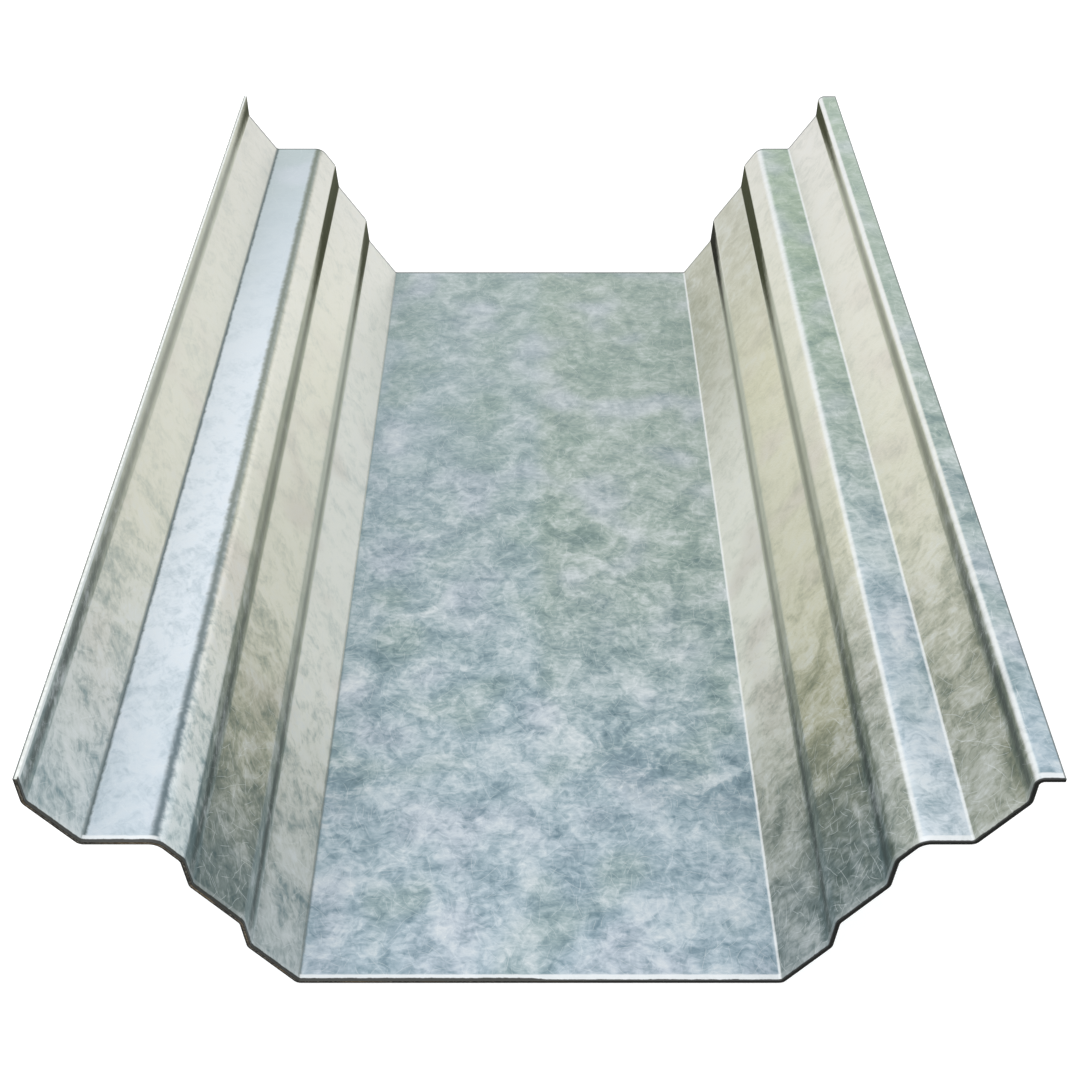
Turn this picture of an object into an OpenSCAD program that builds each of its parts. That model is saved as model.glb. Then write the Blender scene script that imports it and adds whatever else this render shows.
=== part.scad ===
// Deep trough roofing sheet, roll formed from one strip of galvanised steel and cut to length.
// The trough runs along Y and the sheet lies on its pan: Z is 0 under the pan, and X and Y are 0
// in the middle of its box. The left edge is -X and ends in a bare lip; the right edge is +X and
// carries the short flange that laps over the next sheet's lip.

/* [Sheet] */
// Length that the sheet is cut to, along the trough
sheet_length = 920; // [300:10:6000]
// Thickness of the galvanised steel
thickness = 3; // [0.75:0.25:4]

/* [Pan] */
// Width of the flat pan, between its two creases
pan_width = 329; // [150:1:450]

/* [Stepped webs] */
// Slope of the three webs on each side, from the level
web_angle = 56.5; // [45:0.5:70]
// Slope of the steep jogs that separate the webs, from the level
jog_angle = 86.5; // [78:0.5:90]
// Rise of the lower web, from the pan to the lower jog
lower_web_rise = 41; // [25:0.5:80]
// Rise of the lower jog
lower_jog_rise = 26.5; // [15:0.5:40]
// Rise of the middle web, between the two jogs
middle_web_rise = 40.5; // [25:0.5:80]
// Rise of the upper jog
upper_jog_rise = 25.5; // [15:0.5:40]
// Rise of the upper web, from the upper jog to the ledge
upper_web_rise = 19.5; // [15:0.5:60]

/* [Ledges] */
// Width of the level ledge on the left
left_ledge_width = 48; // [25:1:90]
// Width of the level ledge on the right
right_ledge_width = 32.5; // [20:0.5:90]

/* [Outer webs and edges] */
// Slope of the outer webs, above the ledges, from the level
outer_web_angle = 56.5; // [40:0.5:70]
// Rise of the outer webs
outer_web_rise = 38; // [20:0.5:80]
// Rise of the upright lip that ends each side
lip_rise = 21.5; // [18:0.5:60]
// Width of the flange that turns outwards from the right lip
flange_width = 18; // [12:1:60]

/* [Bends] */
// Inside radius of the sharp creases, at the pan, the ledges' outer edges and the flange
crease_radius = 3; // [1:0.5:8]
// Inside radius of the bends into and out of the jogs
jog_radius = 7; // [2:0.5:12]
// Inside radius of the soft shoulder between the upper web and the ledge
shoulder_radius = 10; // [3:0.5:15]
// Inside radius of the bend between the outer web and the lip
lip_radius = 6; // [2:0.5:10]

/* [Hidden] */

// Widest angle that one flat facet of a bend turns through
bend_facet = 6;
galvanised = [0.72, 0.77, 0.79];

// A straight is [length between sharp corners, slope from the level], measured on the upper face.
function level(width) = [width, 0];
function climb(rise, slope) = [rise / sin(slope), slope];

// One side of the section, from the middle of the pan out to the top of the lip
function side(ledge_width) = [
    level(pan_width / 2),
    climb(lower_web_rise, web_angle),
    climb(lower_jog_rise, jog_angle),
    climb(middle_web_rise, web_angle),
    climb(upper_jog_rise, jog_angle),
    climb(upper_web_rise, web_angle),
    level(ledge_width),
    climb(outer_web_rise, outer_web_angle),
    climb(lip_rise, 90)
];
left_side = side(left_ledge_width);
right_side = concat(side(right_ledge_width), [level(flange_width)]);

// Inside radius of the bend that ends each straight, in the same order
bend_radii = [
    crease_radius, jog_radius, jog_radius, jog_radius, jog_radius,
    shoulder_radius, crease_radius, lip_radius, crease_radius
];

function along(slope) = [cos(slope), sin(slope)];
function upward(slope) = [-sin(slope), cos(slope)];

// Sharp corner on the upper face where straight k ends, walking out from the middle of the pan
function corner(side, k) =
    (k == 0 ? [0, thickness] : corner(side, k - 1)) + side[k][0] * along(side[k][1]);

// Height of the bend's centre over the upper face: above it where the sheet turns up, and below
// the underside where it turns down.
function centre_height(k, turn) = turn > 0 ? bend_radii[k] : -bend_radii[k] - thickness;

// Bend k as an arc of facets, on the face that lies depth below the upper one
function bend(side, k, depth) =
    let (
        start = side[k][1],
        turn = side[k + 1][1] - start,
        height = centre_height(k, turn),
        setback = abs(height) * tan(abs(turn) / 2),
        centre = corner(side, k) - setback * along(start) + height * upward(start),
        facets = ceil(abs(turn) / bend_facet)
    )
    [for (i = [0:facets]) centre - (height + depth) * upward(start + turn * i / facets)];

// One face of a side: all its bends, then the cut end of its last straight
function face(side, depth) =
    let (last = len(side) - 1)
    concat(
        [for (k = [0:last - 1]) each bend(side, k, depth)],
        [corner(side, last) - depth * upward(side[last][1])]
    );

function reversed(points) = [for (i = [len(points) - 1:-1:0]) points[i]];
function mirrored(points) = [for (p = points) [-p.x, p.y]];
function reach(side) = max([for (depth = [0, thickness]) each [for (p = face(side, depth)) p.x]]);

// The section: out along the upper face on the right and back along the underside, then the same
// on the left.
function section() = concat(
    face(right_side, 0),
    reversed(face(right_side, thickness)),
    mirrored(face(left_side, thickness)),
    reversed(mirrored(face(left_side, 0)))
);

module roofing_sheet() {
    color(galvanised)
        translate([(reach(left_side) - reach(right_side)) / 2, 0, 0])
            rotate([90, 0, 0])
                linear_extrude(sheet_length, center = true)
                    polygon(section());
}

roofing_sheet();
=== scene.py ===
import bpy
import numpy as np
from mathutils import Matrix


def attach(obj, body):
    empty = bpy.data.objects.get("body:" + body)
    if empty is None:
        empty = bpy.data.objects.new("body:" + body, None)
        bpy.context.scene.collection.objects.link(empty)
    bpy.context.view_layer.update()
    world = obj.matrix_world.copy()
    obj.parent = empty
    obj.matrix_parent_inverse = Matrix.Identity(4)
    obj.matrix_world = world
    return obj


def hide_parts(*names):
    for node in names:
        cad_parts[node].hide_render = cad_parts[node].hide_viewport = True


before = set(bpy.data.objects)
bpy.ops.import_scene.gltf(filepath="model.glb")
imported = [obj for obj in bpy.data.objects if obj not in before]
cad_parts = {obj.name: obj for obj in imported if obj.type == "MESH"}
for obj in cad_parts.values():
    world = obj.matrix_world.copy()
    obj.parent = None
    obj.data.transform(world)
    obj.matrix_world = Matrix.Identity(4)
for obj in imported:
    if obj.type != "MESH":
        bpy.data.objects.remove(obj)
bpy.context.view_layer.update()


# The strip, rolled to its section
#
# One zinc-coated steel strip, roll formed into a wide pan with a stepped web, a ledge and an outer
# web on each side. The left edge ends in a bare lip and the right one in a short lap flange. Both
# ends are sheared square, and every cut edge is rounded over by a few tenths of a millimetre.

SHEET_LENGTH = 0.920
GAUGE = 0.003
EDGE_ROUND = 0.0003

# Straights between sharp corners, on the upper face
HALF_PAN = 0.1645
LOWER_WEB_RISE = 0.0410
LOWER_JOG_RISE = 0.0265
MIDDLE_WEB_RISE = 0.0405
UPPER_JOG_RISE = 0.0255
UPPER_WEB_RISE = 0.0195
LEFT_LEDGE = 0.048
RIGHT_LEDGE = 0.0325
OUTER_WEB_RISE = 0.0380
LIP_RISE = 0.0215
FLANGE = 0.018

# Slopes from the level, and inside radii of the bends
WEB, JOG, UPRIGHT = np.radians(56.5), np.radians(86.5), np.radians(90)
CREASE, JOG_BEND, SHOULDER, LIP_BEND = 0.003, 0.007, 0.010, 0.006

# Widest spacing of the rows of points on a flat, twice the widest angle between them in a bend, and
# the stretch before a cut edge that holds only the edge's own rows
ROW_SPACING = 0.0022
BEND_STEP = 7
EDGE_STRETCH = 0.002


def climb(rise, slope):
    """Length and slope of a straight that rises by rise: the rise over the slope's sine."""
    return rise / np.sin(slope), slope


def side_straights(ledge, edge):
    """Straights of one side from the pan's middle outwards: length between corners, and slope."""
    return [(HALF_PAN, 0), climb(LOWER_WEB_RISE, WEB), climb(LOWER_JOG_RISE, JOG),
            climb(MIDDLE_WEB_RISE, WEB), climb(UPPER_JOG_RISE, JOG), climb(UPPER_WEB_RISE, WEB),
            (ledge, 0), climb(OUTER_WEB_RISE, WEB)] + edge


def edge_steps():
    """Distances from a cut edge at which its rounding has a row of points, inwards from the edge."""
    return EDGE_ROUND * np.array([0, 0.13, 0.5, 1, 3])


def ahead(slope):
    """Direction in which a straight of this slope runs: its cosine across and its sine up."""
    return np.stack([np.cos(slope), np.sin(slope)], -1)


def off_face(slope):
    """Direction square to the upper face of a straight of this slope, away from the steel."""
    return np.stack([-np.sin(slope), np.cos(slope)], -1)


def roll_side(straights, bends):
    """Upper face of one side of the section, from the middle of the pan out to the edge.
    A straight runs on at its slope, shortened at each end by a setback, which is the height of the
    bend's centre times the tangent of half its turn. The centre lies the inside radius above the
    upper face where the strip turns up, and the radius plus the gauge below it where it turns
    down. Gives points, slopes, distances along the strip, and the distance at each bend's middle."""
    corner, setback, travelled = np.array([0, GAUGE]), 0.0, 0.0
    points, slopes, travel, bend_middles = [corner[None]], [[0.0]], [[0.0]], []
    for k, (length, slope) in enumerate(straights):
        last = k == len(bends)
        turn = 0 if last else straights[k + 1][1] - slope
        height = 0 if last else bends[k] if turn > 0 else -bends[k] - GAUGE
        next_setback = abs(height * np.tan(turn / 2))
        flat = length - setback - next_setback
        steps = np.linspace(0, flat, int(np.ceil(flat / ROW_SPACING)) + 1)[1:]
        if last:
            clear_of_edge = steps[steps < flat - EDGE_STRETCH]
            steps = np.concatenate([clear_of_edge, flat - edge_steps()[::-1]])
        points.append(corner + (setback + steps)[:, None] * ahead(slope))
        slopes.append(np.full(len(steps), slope))
        travel.append(travelled + steps)
        travelled += flat
        corner = corner + length * ahead(slope)
        setback = next_setback
        if not last:
            pairs = int(np.ceil(abs(np.degrees(turn)) / BEND_STEP))
            share = np.linspace(0, 1, 2 * pairs + 1)[1:]
            bent = abs(height + GAUGE / 2) * abs(turn)
            centre = corner - setback * ahead(slope) + height * off_face(slope)
            points.append(centre - height * off_face(slope + turn * share))
            slopes.append(slope + turn * share)
            travel.append(travelled + bent * share)
            bend_middles.append(travelled + bent / 2)
            travelled += bent
    return [np.concatenate(part) for part in (points, slopes, travel)] + [np.array(bend_middles)]


side_bends = [CREASE, JOG_BEND, JOG_BEND, JOG_BEND, JOG_BEND, SHOULDER, CREASE, LIP_BEND]
lip, flange = (LIP_RISE, UPRIGHT), (FLANGE, 0)
left_side = roll_side(side_straights(LEFT_LEDGE, [lip]), side_bends)
right_side = roll_side(side_straights(RIGHT_LEDGE, [lip, flange]), side_bends + [CREASE])

# How each flat is painted, from the pan outwards: pan, lower web, lower jog, middle web, upper
# jog, upper web, ledge, outer web, lip and, on the right, flange. The lists say in turn how bluish
# white a ledge is painted, how pale a flat is from its middle to its far end, how far painted shade
# darkens a flat's near end, how yellow painted warm light makes a web in its middle, how much painted
# shade dulls a flat at the far end, and how many metres the painted dark reflection on a steep flat
# reaches back from its far end.
left_flat_amounts = dict(whitening=[0, 0, 0, 0, 0, 0, 1.0, 0, 0],
                 pallor=[0, 0.90, 0.46, 0.64, 0, 0.50, 0, 0.37, 0.34],
                 near_shade=[0, 0.40, 0.20, 0.82, 0.46, 0, 0, 0.22, 0],
                 warm_light=[0, 0.10, 0, 1.0, 0, 0, 0, 0, 0],
                 far_shade=[0, 0.13, 0, 0.06, 0, 0.04, 0, 0, 0],
                 dark_reflection_reach=[0, 0, 0.13, 0, 0.222, 0, 0, 0, 0.051])
right_flat_amounts = dict(whitening=[0, 0, 0, 0, 0, 0, 0.80, 0, 0, 0],
                  pallor=[0, 0.70, 0.30, 0.35, 0.16, 0.20, 0.06, 0.34, 0.18, 0.14],
                  near_shade=[0, 0.74, 0.80, 0.92, 1.0, 0.64, 0, 0.70, 0.70, 0],
                  warm_light=[0, 0.15, 0, 1.0, 0, 0.15, 0, 0.45, 0, 0],
                  far_shade=[0, 0.66, 0, 0.48, 0, 0.05, 0, 0.02, 0, 0],
                  dark_reflection_reach=[0, 0.05, 0.12, 0, 0.25, 0, 0, 0, 0.105, 0])

# The bends that show as a line, and those below a steep flat. The bend at the pan is number 0.
LINED_BENDS = (0, 5, 6, 8)
FEET_OF_STEEP_FLATS = [1, 3, 7]
SHADE_HEIGHT = 0.010
HALF_BLEND = 0.0015


def nearest(travel, marks):
    """Each point's distance along the strip from the nearest of some marks."""
    return np.abs(travel[:, None] - marks).min(1)


def rows_along(side, amounts):
    """Each point's share of upright, its distance from the nearest lined bend and from the shade
    line that lies 10 mm above the lower bend of each steep flat, and the painted amounts of its
    flat, which pass to the next flat's over 3 mm at the middle of the bend."""
    _, slopes, travel, bends = side
    places = np.stack([bends - HALF_BLEND, bends + HALF_BLEND], 1).ravel()
    rows = {name: np.interp(travel, places, np.repeat(values, 2)[1:-1])
            for name, values in amounts.items()}
    rows["steepness"] = slopes / UPRIGHT
    rows["crease"] = nearest(travel, bends[[k for k in LINED_BENDS if k < len(bends)]])
    rows["shade"] = nearest(travel, bends[FEET_OF_STEEP_FLATS] + SHADE_HEIGHT)
    return rows


def across_width(on_left, on_right):
    """Joins the two sides into one row from the left edge to the right, with one middle point."""
    return np.concatenate([on_left[::-1], on_right[1:]])


def rounding(distance):
    """How far a face draws back near a cut edge, which is a quarter circle: the radius less the
    height of the circle at that distance from the edge."""
    inward = np.clip(EDGE_ROUND - distance, 0, EDGE_ROUND)
    return EDGE_ROUND - np.sqrt(EDGE_ROUND ** 2 - inward ** 2)


def quads_between(first, second):
    """Quads that join two rows of vertex numbers of equal length."""
    return np.stack([first[:-1], first[1:], second[1:], second[:-1]], -1)


# The whole row of points from edge to edge, moved so that the middle of its width is at X 0
section = across_width(left_side[0] * [-1, 1], right_side[0])
slope = across_width(-left_side[1], right_side[1])
distance = across_width(-left_side[2], right_side[2])
section[:, 0] -= (section[0, 0] - GAUGE + section[-1, 0]) / 2

# Rings of points from the near end to the far end, each running over the upper face from left to
# right and back along the underside. They lie closer together over the last 8 mm at each end.
END_STRETCH = 0.008
RINGS_BETWEEN = 38

end_rows = np.concatenate([edge_steps(), [END_STRETCH / 2]])
between_ends = np.linspace(END_STRETCH, SHEET_LENGTH - END_STRETCH, RINGS_BETWEEN)
stations = np.concatenate([end_rows, between_ends, SHEET_LENGTH - end_rows[::-1]])
to_side = np.minimum(distance - distance[0], distance[-1] - distance)
to_end = np.minimum(stations, SHEET_LENGTH - stations)
drawn_back = np.maximum(rounding(to_side)[None], rounding(to_end)[:, None])[..., None]
upper = section - drawn_back * off_face(slope)
under = section - (GAUGE - drawn_back) * off_face(slope)
ring_points = np.concatenate([upper, under[:, ::-1]], 1)
across, around, rings = len(section), 2 * len(section), len(stations)
vertices = np.empty((rings, around, 3))
vertices[..., 0] = ring_points[..., 0]
vertices[..., 1] = stations[:, None] - SHEET_LENGTH / 2
vertices[..., 2] = ring_points[..., 1]

# The skin between the rings, and a cut face at each end between the two faces' points
number = np.arange(rings * around).reshape(rings, around)
closed = np.concatenate([number, number[:, :1]], 1)
skin = np.concatenate([quads_between(closed[i], closed[i + 1]) for i in range(rings - 1)])
near_cut = quads_between(number[0, :across], number[0, ::-1][:across])[:, [0, 3, 2, 1]]
far_cut = quads_between(number[-1, :across], number[-1, ::-1][:across])
faces = np.concatenate([skin, near_cut, far_cut])

# The coat is finish 0, the two slit edges are finish 1 and the sheared ends are finish 2
column = np.arange(len(skin)) % around
on_slit_edge = (column == across - 1) | (column == around - 1)
finish_of_face = np.concatenate([np.where(on_slit_edge, 1, 0), np.full(2 * (across - 1), 2)])

strip = bpy.data.meshes.new("galvanised_trough_sheet")
strip.vertices.add(rings * around)
strip.vertices.foreach_set("co", vertices.ravel())
strip.loops.add(faces.size)
strip.loops.foreach_set("vertex_index", faces.ravel())
strip.polygons.add(len(faces))
strip.polygons.foreach_set("loop_start", np.arange(0, faces.size, 4))
strip.polygons.foreach_set("material_index", finish_of_face)
strip.polygons.foreach_set("use_smooth", np.ones(len(faces), bool))
strip.update()
strip.validate()
strip.set_sharp_from_angle(angle=np.radians(40))

# The unrolled strip is the UV map, in metres: across from the pan's middle, and along from the
# near end. The underside has a stretch of its own, 2 m further across.
flat_map = np.empty((rings, around, 2))
flat_map[..., 0] = np.concatenate([distance, distance[::-1] + 2])
flat_map[..., 1] = stations[:, None]
uv = strip.uv_layers.new(name="unrolled")
uv.data.foreach_set("uv", flat_map.reshape(-1, 2)[faces.ravel()].ravel())

left_rows, right_rows = rows_along(left_side, left_flat_amounts), rows_along(right_side, right_flat_amounts)
rows = {name: across_width(left_rows[name], right_rows[name]) for name in left_rows}
rows["top"] = np.ones(across)
for name, row in rows.items():
    underside = np.zeros(across) if name == "top" else row[::-1]
    attribute = strip.attributes.new(name, "FLOAT", "POINT")
    attribute.data.foreach_set("value", np.tile(np.concatenate([row, underside]), rings).astype("f"))

sheet = bpy.data.objects.new("galvanised_trough_sheet", strip)
bpy.context.scene.collection.objects.link(sheet)
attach(sheet, "root")
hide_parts("roofing_sheet")


# The zinc coat
#
# Hot-dip zinc on both faces: cloudy grey-blue spangle of lobes, flakes, curled strokes and fine
# fibres, with handling scratches over it. Light and shade are painted into its colour: the level
# flats stay blue with painted sky reflection, the sloping webs are pale and warm with painted warm
# light, the steep flats are darker olive with painted shade and a painted shade line, and the near
# end of the webs is grey with painted shade.

def tone(red, green, blue):
    """A colour as it is read off a screen, 0 to 255, made linear for the shader. A share of 255 up
    to 0.04045 is divided by 12.92. Over that, 0.055 is added to it, the sum is divided by 1.055,
    and the result is raised to the power 2.4."""
    share = np.array([red, green, blue]) / 255
    linear = np.where(share > 0.04045, ((share + 0.055) / 1.055) ** 2.4, share / 12.92)
    return tuple(float(part) for part in linear) + (1.0,)


class Socket:
    """An output of a shader node. Arithmetic on it adds Math nodes to the same node tree."""

    def __init__(self, tree, output=None):
        self.tree = tree
        self.output = output

    def node(self, kind, settings=None, inputs=None, result=0, stops=()):
        """Adds a node: its settings and ramp stops first, then its sockets' values and links."""
        made = self.tree.nodes.new(kind)
        for name, value in (settings or {}).items():
            setattr(made, name, value)
        for place, (position, colour) in enumerate(stops):
            elements = made.color_ramp.elements
            element = elements[place] if place < 2 else elements.new(position)
            element.position = position
            element.color = colour if isinstance(colour, tuple) else (colour,) * 3 + (1,)
        for name, value in (inputs or {}).items():
            if isinstance(value, Socket):
                self.tree.links.new(value.output, made.inputs[name])
            else:
                made.inputs[name].default_value = value
        return Socket(self.tree, made.outputs[result] if len(made.outputs) else None)

    def math(self, operation, *values):
        """The result of a Math node's operation on one, two or three values."""
        return self.node("ShaderNodeMath", dict(operation=operation), dict(enumerate(values)))

    def __add__(self, other):
        return self.math("ADD", self, other)

    def __radd__(self, other):
        return self.math("ADD", other, self)

    def __sub__(self, other):
        return self.math("SUBTRACT", self, other)

    def __rsub__(self, other):
        return self.math("SUBTRACT", other, self)

    def __mul__(self, other):
        return self.math("MULTIPLY", self, other)

    def __rmul__(self, other):
        return self.math("MULTIPLY", other, self)

    def __abs__(self):
        return self.math("ABSOLUTE", self)

    def smooth(self, low, high):
        """0 where the value is at low, 1 where it is at high, and an S-curve between."""
        return self.node("ShaderNodeMapRange", dict(interpolation_type="SMOOTHSTEP"),
                         {"Value": self, "From Min": low, "From Max": high})

    def ramp(self, *stops):
        """The colour or grey at this value, between stops of a place and a colour or grey."""
        return self.node("ShaderNodeValToRGB", None, {"Fac": self}, stops=stops)

    def between(self, first, second):
        """The colour that lies this share of the way from one colour to another."""
        return self.node("ShaderNodeMix", dict(data_type="RGBA"), {0: self, 6: first, 7: second},
                         result=2)

    def tint(self, other, share, way="MIX"):
        """This colour mixed with another by a share."""
        return self.node("ShaderNodeMix", dict(data_type="RGBA", blend_type=way),
                         {0: share, 6: self, 7: other}, result=2)

    def vector(self, operation, inputs):
        """The result of a Vector Math node's operation on this vector and its other inputs."""
        return self.node("ShaderNodeVectorMath", dict(operation=operation), {0: self, **inputs})

    def scaled(self, factor):
        """This colour or vector times a number."""
        return self.vector("SCALE", {"Scale": factor})

    def shifted(self, other):
        """This vector plus another."""
        return self.vector("ADD", {1: other})

    def other(self, result):
        """Another output of the same node."""
        return Socket(self.tree, self.output.node.outputs[result])

    def parts(self):
        """The three components of this vector or colour."""
        first = self.node("ShaderNodeSeparateXYZ", None, {0: self})
        return first, first.other(1), first.other(2)


def new_finish(name):
    """A material with an empty node tree, and a socket to build the tree from."""
    material = bpy.data.materials.new(name)
    material.use_nodes = True
    material.node_tree.nodes.clear()
    return material, Socket(material.node_tree)


def noise(place, scale, detail=2.0, roughness=0.5, distortion=0.0, result=0):
    """Cloudy noise over the unrolled strip, about scale clouds a metre, from 0 to 1."""
    return place.node("ShaderNodeTexNoise", dict(noise_dimensions="2D"),
                      {"Vector": place, "Scale": scale, "Detail": detail,
                       "Roughness": roughness, "Distortion": distortion}, result=result)


def grains(place, scale):
    """Random colours of the cells of a Voronoi pattern, about scale cells a metre."""
    return place.node("ShaderNodeTexVoronoi", dict(voronoi_dimensions="2D"),
                      {"Vector": place, "Scale": scale}, result=1)


def turned(place, angle):
    """The place turned about the origin by an angle in radians."""
    return place.node("ShaderNodeVectorRotate", dict(rotation_type="Z_AXIS"),
                      {"Vector": place, "Angle": angle})


def scratches(place, scale, half_width, half_length, share):
    """One short curved scratch in some cells of a Voronoi pattern. It is where the distance from a
    parabola through the cell's middle is under half_width, over half_length each way; the cell's
    random colour turns it, bends it and says whether there is one."""
    cell = grains(place, scale)
    angle, bow, chance = cell.parts()
    full_turn = 6.283
    x, y, _ = turned(place.vector("SUBTRACT", {1: cell.other(2)}), angle * full_turn).parts()
    off_line = abs(x - (bow - 0.5) * y * y * (0.6 / half_length))
    taper = abs(y).smooth(half_length, half_length * 0.4)
    return off_line.smooth(half_width, 0) * taper * chance.smooth(1 - share, 1.02 - share)


# Along runs from 0 at the near end to 0.92 m at the far one. Side is 0 in the pan's middle, and
# minus on the left: the pan ends at 0.165 m, the lower jog lies from 0.215 to 0.242, the upper one
# from 0.290 to 0.316, and the ledge from 0.337 to 0.369 on the right and 0.384 on the left. The lip
# starts at 0.416 on the right and 0.431 on the left, and the flange at 0.435.
zinc, coat = new_finish("galvanised_zinc_coat")
place = coat.node("ShaderNodeUVMap", dict(uv_map="unrolled"))
side, along, _ = place.parts()


def per_point(name):
    """A number that the mesh carries at each point."""
    return coat.node("ShaderNodeAttribute", dict(attribute_name=name), result=2)


top = per_point("top")
steepness, crease, shade = per_point("steepness"), per_point("crease"), per_point("shade")
whitening, pallor, near_shade = per_point("whitening") * top, per_point("pallor"), per_point("near_shade") * top
far_shade, dark_reflection_reach, warm_light = per_point("far_shade") * top, per_point("dark_reflection_reach") * top, per_point("warm_light") * top
level = steepness.smooth(0.38, 0.20)
steep = steepness.smooth(0.72, 0.90)
on_right = side.smooth(-0.01, 0.01)
near_half = along.smooth(0.42, 0.06)
far_half = along.smooth(0.45, 0.80)

# Spangle: pale lobes, flakes with firm edges, curled strokes and wispy fibres, which lie across the
# strip on the pan and the right, and aslant on the left
lobes = noise(place, 27, detail=4.0, roughness=0.63, distortion=0.6)
flakes = noise(place.shifted((4.1, 2.2, 0)), 52, detail=2.0, roughness=0.60, distortion=0.5)
flakes = flakes.smooth(0.42, 0.455) * 0.5 + flakes.smooth(0.535, 0.57) * 0.5
curls = noise(place, 100, detail=3.5, roughness=0.68, distortion=1.1)
swirl = noise(place, 47, detail=1.0, result=1).shifted((-0.5, -0.5, -0.5))
lie = turned(place.shifted(swirl.scaled(0.010)), 1.05 * side.smooth(-0.166, -0.170))
drawn_out = lie.vector("MULTIPLY", {1: (0.35, 1.0, 1.0)})
fibres = noise(drawn_out, 260, detail=2.0, roughness=0.68)
fine = noise(place, 560, detail=1.0, roughness=0.65)
hue = noise(place.shifted((2.3, 0.7, 0)), 15, detail=1.0)

# Handling scratches in two sizes
bent = place.shifted(swirl.scaled(0.004))
short_marks = scratches(bent, 105, half_width=0.00034, half_length=0.0070, share=0.97)
long_marks = scratches(bent.shifted((5.3, 2.9, 0)), 52, half_width=0.00038, half_length=0.0150,
                       share=0.9)
marks = short_marks + long_marks

# Level flats, whose blue is painted sky reflection: blue at the near end, greener and greyer towards
# the far end and on the right, with pale and green clouds
level_tone = (along + (lobes - 0.5) * 0.10).ramp(
    (0.02, tone(173, 191, 202)), (0.25, tone(165, 184, 192)),
    (0.45, tone(155, 174, 177)), (0.90, tone(160, 177, 174)))
green_right = on_right * along.smooth(0.15, 0.45) * 0.6
level_tone = level_tone.tint(tone(162, 177, 165), green_right)
blue_left = side.smooth(-0.04, -0.15) * along.smooth(0.25, 0.50) * along.smooth(1.0, 0.7) * 0.5
level_tone = level_tone.tint(tone(168, 186, 198), blue_left)
green_edge = side.smooth(0.28, 0.32) * along.smooth(0.30, 0.75) * 0.6
level_tone = level_tone.tint(tone(162, 184, 156), green_edge)
dull_flange = side.smooth(0.43, 0.44) * along.smooth(0.02, 0.15) * along.smooth(1.05, 0.60) * 0.5
level_tone = level_tone.tint(tone(148, 165, 156), dull_flange)
level_tone = level_tone.tint(tone(198, 204, 216), hue.smooth(0.50, 0.78) * 0.5)
level_tone = level_tone.tint(tone(146, 168, 158), hue.smooth(0.48, 0.24) * 0.4)

# Bluish white painted on the ledges, in two stretches on the right, and a little pallor on the
# right ledge and the flange
left_whitening = along.ramp((0.0, 0.48), (0.20, 1.0), (0.50, 1.0), (0.90, 0.36))
right_whitening = along.ramp((0.0, 1.0), (0.045, 0.90), (0.085, 0.54), (0.16, 0.0), (0.25, 0.42),
                         (0.38, 0.0))
level_tone = level_tone.tint(tone(222, 231, 239), whitening * left_whitening.tint(right_whitening, on_right))
level_tone = level_tone.tint(tone(224, 233, 224), pallor * along.smooth(0.10, 0.40))

# Darker steel-blue clouds on the pan, where it has lain wet: a strip from its middle to its right
# crease and a patch at its left one
drift = (lobes - 0.5) * 0.09 + (flakes - 0.5) * 0.012
wet_strip = abs(along + drift + side.smooth(0.02, 0.17) * 0.05 - 0.205).smooth(0.034, 0.012)
wet_patch = abs(along + drift - 0.172).smooth(0.036, 0.014)
clouds = wet_strip * side.smooth(0.02, 0.07) + wet_patch * side.smooth(-0.125, -0.145)
within_pan = abs(side).smooth(0.168, 0.163)
level_tone = level_tone.tint(tone(120, 146, 158), clouds * level * within_pan * 0.6)

# Sloping webs: ivory and pale in the middle of their length, with painted warm yellow light, beige
# patches, and painted shade that dulls them at the far end
web_tone = along.ramp((0.03, tone(215, 226, 230)), (0.13, tone(210, 216, 214)),
                      (0.28, tone(206, 205, 181)), (0.60, tone(208, 208, 191)),
                      (0.90, tone(211, 210, 201)))
# Painted warm yellow light on the webs
warm_light_share = warm_light * along.ramp((0.06, 0.3), (0.16, 0.9), (0.30, 0.72), (0.45, 0.65), (0.58, 1.0),
                              (0.75, 0.35), (0.88, 0.0))
web_tone = web_tone.tint(tone(200, 196, 152), warm_light_share)
grey_outer_web = side.smooth(0.355, 0.375) * along.smooth(0.35, 0.60) * 0.45
web_tone = web_tone.tint(tone(216, 213, 210), grey_outer_web)
paled_middle = pallor * along.smooth(1.40, 0.55) * along.smooth(-0.10, 0.28)
web_tone = web_tone.tint(tone(253, 253, 248), paled_middle)
# Painted shade dulls the webs at the far end
web_tone = web_tone.tint(tone(150, 153, 126), far_shade * far_half)
beige = hue.smooth(0.50, 0.78) * along.smooth(0.80, 0.40) * along.smooth(0.04, 0.24) * 0.5
web_tone = web_tone.tint(tone(214, 206, 198), beige)

# Steep flats, darker with painted shade: grey at the near end and olive ivory further off
steep_tone = along.ramp((0.05, tone(155, 169, 167)), (0.17, tone(152, 157, 144)),
                        (0.30, tone(178, 178, 158)), (0.60, tone(194, 195, 176)))
steep_tone = steep_tone.tint(tone(246, 246, 232), pallor * along.smooth(0.10, 0.40))

# One zinc in three tones by slope: painted sky reflection on the level flats, painted warm light on
# the webs and painted shade on the steep flats
colour = web_tone.tint(level_tone, level).tint(steep_tone, steep)

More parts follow.
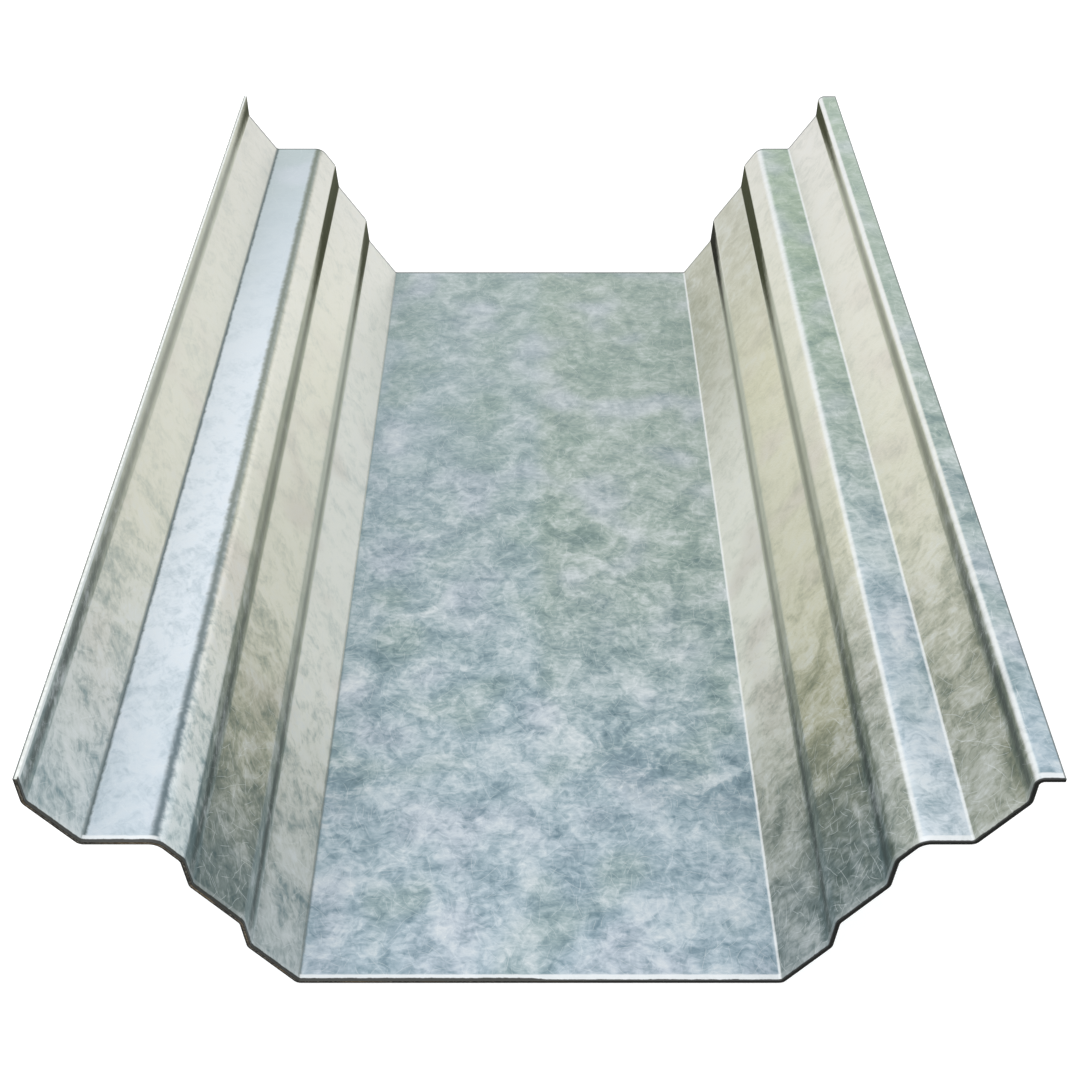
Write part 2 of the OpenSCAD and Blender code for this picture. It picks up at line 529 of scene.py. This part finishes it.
# Painted shade at the near end of the webs: slate grey, then olive, thinning out over the first
# 400 mm, and thicker close to each steep flat as a painted shadow, above all in the 12 mm below it
reach = along + (lobes - 0.5) * 0.15
near_shaded = reach.ramp((0.03, 1.0), (0.085, 0.93), (0.17, 0.60), (0.28, 0.10), (0.42, 0.0)) * near_shade
shadow_below_jog = shade.smooth(0.022, 0.009) * (1 - steep) * reach.smooth(0.20, 0.06)
near_shade_tone = reach.ramp((0.03, tone(89, 108, 108)), (0.18, tone(124, 126, 96)))
near_shade_tone = near_shade_tone.tint(tone(130, 133, 108), side.smooth(0.30, 0.33))
colour = colour.tint(near_shade_tone, near_shaded + (1 - near_shaded) * shadow_below_jog * near_shade.smooth(0.25, 0.5) * 0.6)

# Shade line of the steep flats, 10 mm above their lower bend, darkest about 80 mm from the near end
shade_tone = along.ramp((0.20, tone(58, 68, 62)), (0.45, tone(66, 65, 48)))
shade_share = 0.50 + 0.36 * along.smooth(0.28, 0.10) * along.smooth(-0.02, 0.06)
colour = colour.tint(shade_tone, shade.smooth(0.0085, 0.0010) * steep * shade_share)

# Painted dark reflection on the steep flats at the far end, olive black, in a tongue that narrows
# along the shade line and is blackest on the lower jog on the right
ragged = along + (curls - 0.5) * 0.08
dark_reflection = (ragged + dark_reflection_reach - shade * 5.5).smooth(0.80, 0.97) * dark_reflection_reach.smooth(0.01, 0.05) * steep
dark_reflection_tone = (on_right * side.smooth(0.26, 0.25)).between(tone(72, 76, 52), tone(26, 29, 12))
colour = colour.tint(dark_reflection_tone, dark_reflection * (0.93 + 0.06 * on_right))

# Spangle over all flats, deepest on the level ones and where painted shade darkens the webs' near end
level_depth = level * (1.0 - 0.50 * whitening * (1 - on_right) - pallor - along.smooth(0.20, 0.75) * 0.38)
slope_depth = 0.30 + 0.60 * near_half + 0.12 * near_shaded + 0.35 * far_shade * far_half
depth = level_depth + (1 - level) * (1 - dark_reflection) * slope_depth
fibre_depth = 0.31 + 0.20 * (1 - level) * near_half
grain = (lobes - 0.5) * 0.76 + (flakes - 0.5) * 0.13 + (curls - 0.5) * 0.48
grain = grain + (fibres - 0.5) * fibre_depth
olive_share = far_shade * far_half + near_shade * on_right * 0.5
shadow = olive_share.between((0.30, 0.42, 0.46, 1), (0.42, 0.42, 0.30, 1))
colour = colour.tint(shadow, (0 - grain).smooth(-0.12, 0.40) * depth, "MULTIPLY")
colour = colour.tint(tone(222, 227, 230), grain.smooth(-0.06, 0.42) * depth * (0.9 - 0.5 * near_shaded))
marks_on_level = 0.22 * level * (1 - 0.3 * whitening)
marks_on_webs = 0.25 * along.smooth(0.30, 0.05) * (1 - level)
marks_share = 0.10 + marks_on_level + marks_on_webs + 0.16 * near_shaded
colour = colour.tint(tone(226, 232, 234), marks * marks_share * (1 - 0.7 * steep))

# Painted highlights along the creases on the right, with a line that widens along the shoulder to
# the far end
far_shoulder = abs(side - 0.338).smooth(0.014, 0.008) * along.smooth(0.25, 0.60)
crease_highlight = crease.smooth(0.0024 + far_shoulder * 0.0018, 0.0004) * on_right * top
colour = colour.tint(tone(236, 240, 242), crease_highlight * (0.4 + 0.6 * curls))

# Painted shade in the creases on the left, apart from the shoulder
crease_shade = crease - (curls - 0.5) * 0.0030 - whitening * 0.0012
off_shoulder = abs(side + 0.3385).smooth(0.012, 0.020)
crease_shade = crease_shade.smooth(0.0028, 0.0004) * off_shoulder * (1 - on_right) * top
near_pan_crease = side.smooth(-0.20, -0.18) * along.smooth(0.40, 0.15)
colour = colour.tint(tone(78, 94, 94), crease_shade * (0.42 + 0.50 * whitening + 0.25 * near_pan_crease))

# Painted shade in the left ledge's shoulder, ragged on both sides and narrower at the near end
off_ledge = side + 0.3412 - along.smooth(0.30, 0.0) * 0.0010
off_ledge = off_ledge + (curls - 0.5) * 0.0038 + (fibres - 0.5) * 0.0008
narrowed = along.smooth(0.35, 0.08)
shoulder_shade = off_ledge.smooth(-0.0036, 0.0006) * off_ledge.smooth(0.0072 - narrowed * 0.0025, 0.0010) * top
shoulder_shade_tone = along.ramp((0.10, tone(60, 84, 90)), (0.40, tone(84, 94, 62)))
colour = colour.tint(shoulder_shade_tone, shoulder_shade * (0.76 + 0.05 * narrowed))

# Painted highlight on the left lip's top, over its last 3 mm on the near half
lip_top_highlight = side.smooth(distance[0] + 0.0040, distance[0] + 0.0026) * along.smooth(0.55, 0.10)
colour = colour.tint(tone(240, 244, 243), lip_top_highlight * top)

# Edges: a dark burr at the near end with a painted highlight behind it as a bright rim, and a greyer
# burr at the far end and along the flange
frayed = along + (curls - 0.5) * 0.0012
# Painted highlight: a bright rim just behind the near end, strongest on the level flats
colour = colour.tint(tone(238, 242, 244), frayed.smooth(0.0056, 0.0042) * top * (0.18 + 0.64 * level))
burnt = side.ramp((0.0, tone(46, 46, 41)), (0.15, tone(10, 11, 10)))
colour = colour.tint(burnt, (frayed + on_right * 0.0011).smooth(0.0025, 0.0018) * 0.96)
grey_burr = tone(84, 92, 90)
colour = colour.tint(grey_burr, along.smooth(SHEET_LENGTH - 0.0030, SHEET_LENGTH - 0.0018) * 0.85)
flange_end = side.smooth(distance[-1] - 0.0014, distance[-1] - 0.0006) * top
colour = colour.tint(grey_burr, flange_end * 0.8)

relief = coat.node("ShaderNodeBump", None, {"Strength": 0.35, "Distance": 0.0004, "Height": fine})
surface = coat.node("ShaderNodeBsdfPrincipled", None, {
    "Base Color": colour,
    "Metallic": 0.35 + dark_reflection * 0.65,
    "Roughness": 0.44 + grain * 0.25 + near_shaded * 0.10 - marks * 0.08 + dark_reflection * 0.56,
    "Normal": relief})
coat.node("ShaderNodeOutputMaterial", None, {"Surface": surface})
strip.materials.append(zinc)


# The cut edges
#
# The strip's own long edges were slit before rolling, and their near-white colour is painted
# highlight. The two sheared ends show bare steel across the gauge, gone dark brown-grey with small
# lighter specks.

slit, edge = new_finish("slit_edge_painted_highlight")
spot = edge.node("ShaderNodeTexCoord", result=3)
grit = spot.node("ShaderNodeTexNoise", None, {"Vector": spot, "Scale": 260, "Detail": 3})
# Painted highlight over the whole slit edge
slit_highlight = grit.ramp((0.35, tone(214, 220, 216)), (0.65, tone(240, 243, 242)))

# A dark burr along the outer corner of the left lip's top
outside_of_lip = section[0, 0] - GAUGE
burr = spot.parts()[0].smooth(outside_of_lip + 0.0012, outside_of_lip + 0.0006)
burr = burr * grit.smooth(0.28, 0.46)
surface = edge.node("ShaderNodeBsdfPrincipled", None, {
    "Base Color": slit_highlight.tint(tone(52, 60, 58), burr * 0.95),
    "Metallic": 0.35,
    "Roughness": 0.35 + grit * 0.15})
edge.node("ShaderNodeOutputMaterial", None, {"Surface": surface})
strip.materials.append(slit)

# Across the gauge, top runs from 0 at the underside to 1 at the upper face
sheared, cut = new_finish("sheared_steel_end")
spot = cut.node("ShaderNodeTexCoord", result=3)
grit = spot.node("ShaderNodeTexNoise", None, {"Vector": spot, "Scale": 520, "Detail": 4,
                                              "Roughness": 0.7})
blotch = spot.node("ShaderNodeTexNoise", None, {"Vector": spot, "Scale": 30, "Detail": 2})
across_gauge = cut.node("ShaderNodeAttribute", dict(attribute_name="top"), result=2)
core = abs(across_gauge - 0.55).smooth(0.42, 0.18)
grey = grit.ramp((0.35, tone(30, 30, 27)), (0.52, tone(60, 58, 52)), (0.72, tone(128, 124, 113)))
grey = grey.tint(tone(120, 104, 78), blotch.smooth(0.50, 0.65) * 0.4)
grey = grey.tint(tone(18, 19, 17), 1 - core * spot.parts()[0].smooth(0.10, -0.18))
surface = cut.node("ShaderNodeBsdfPrincipled", None, {
    "Base Color": grey,
    "Metallic": 0.0,
    "Specular IOR Level": 0.1,
    "Roughness": 0.6 + grit * 0.2})
cut.node("ShaderNodeOutputMaterial", None, {"Surface": surface})
strip.materials.append(sheared)


# The floor and the white surround
#
# A plain pale floor that the sheet lies on. The camera and reflections see it as white where
# nothing shades it, and it keeps the sheet's soft shadow.

FLOOR_REACH = 40.0

ground = bpy.data.meshes.new("floor")
corners = [(-FLOOR_REACH, -FLOOR_REACH, 0), (FLOOR_REACH, -FLOOR_REACH, 0),
           (FLOOR_REACH, FLOOR_REACH, 0), (-FLOOR_REACH, FLOOR_REACH, 0)]
ground.from_pydata(corners, [], [(0, 1, 2, 3)])
floor = bpy.data.objects.new("floor", ground)
bpy.context.scene.collection.objects.link(floor)


def seen(tree):
    """1 for the rays that show what lies behind: from the camera, off metal or through glass."""
    ray = tree.node("ShaderNodeLightPath")
    return ray.math("MAXIMUM", ray.math("MAXIMUM", ray, ray.other(3)), ray.other(6))


pale, paint = new_finish("pale_floor")
matt = paint.node("ShaderNodeBsdfDiffuse", None, {"Color": (0.80, 0.80, 0.80, 1)})
lift = paint.node("ShaderNodeEmission", None, {"Color": (1, 1, 1, 1), "Strength": 0.45})
both = paint.node("ShaderNodeAddShader", None, {0: matt, 1: lift})
surface = paint.node("ShaderNodeMixShader", None, {0: seen(paint), 1: matt, 2: both})
paint.node("ShaderNodeOutputMaterial", None, {"Surface": surface})
ground.materials.append(pale)

world = bpy.data.worlds.new("white_surround")
bpy.context.scene.world = world
world.use_nodes = True
world.node_tree.nodes.clear()
air = Socket(world.node_tree)
sky = air.node("ShaderNodeBackground", None, {"Color": (1, 1, 1, 1), "Strength": 0.88})
white = air.node("ShaderNodeBackground", None, {"Color": (1, 1, 1, 1), "Strength": 1.0})
both = air.node("ShaderNodeMixShader", None, {0: seen(air), 1: sky, 2: white})
air.node("ShaderNodeOutputWorld", None, {"Surface": both})


# Soft studio light
#
# A large soft box overhead and to the left, and a weaker one from the front. Both are square area
# lights, so that the sheet's shadow on the floor stays soft.

def soft_box(name, location, aim, size, power):
    """A square area light at a place, turned to face another: it tips from straight down by the
    angle between the line to its aim and the vertical, and turns to that line's heading."""
    lamp = bpy.data.lights.new(name, "AREA")
    lamp.size = size
    lamp.energy = power
    holder = bpy.data.objects.new(name, lamp)
    bpy.context.scene.collection.objects.link(holder)
    holder.location = location
    line = np.array(aim, float) - np.array(location, float)
    level_reach = np.hypot(line[0], line[1])
    tip = np.arctan2(level_reach, -line[2])
    heading = np.arctan2(line[0], -line[1]) + np.pi
    holder.rotation_euler = (tip, 0, heading)


soft_box("overhead_left", (-2.4, -0.4, 4.5), (0, 0, 0), size=4.0, power=60)
soft_box("front_fill", (1.0, -5.0, 2.6), (0, 0, 0.1), size=3.0, power=40)


# The camera
#
# In front of the near end and above it, looking along the trough and down at 41 degrees, with a
# 50 mm lens on a frame 36 mm wide.

TILT_DOWN = 0.72011

lens = bpy.data.cameras.new("view")
lens.lens = 50
lens.sensor_width = 36
lens.clip_start = 0.01
camera = bpy.data.objects.new("view", lens)
bpy.context.scene.collection.objects.link(camera)
camera.location = (0.0003, -1.0308, 0.9035)
camera.rotation_euler = (np.radians(90) - TILT_DOWN, 0, 0)
bpy.context.scene.camera = camera
bpy.context.scene.view_settings.view_transform = "Standard"
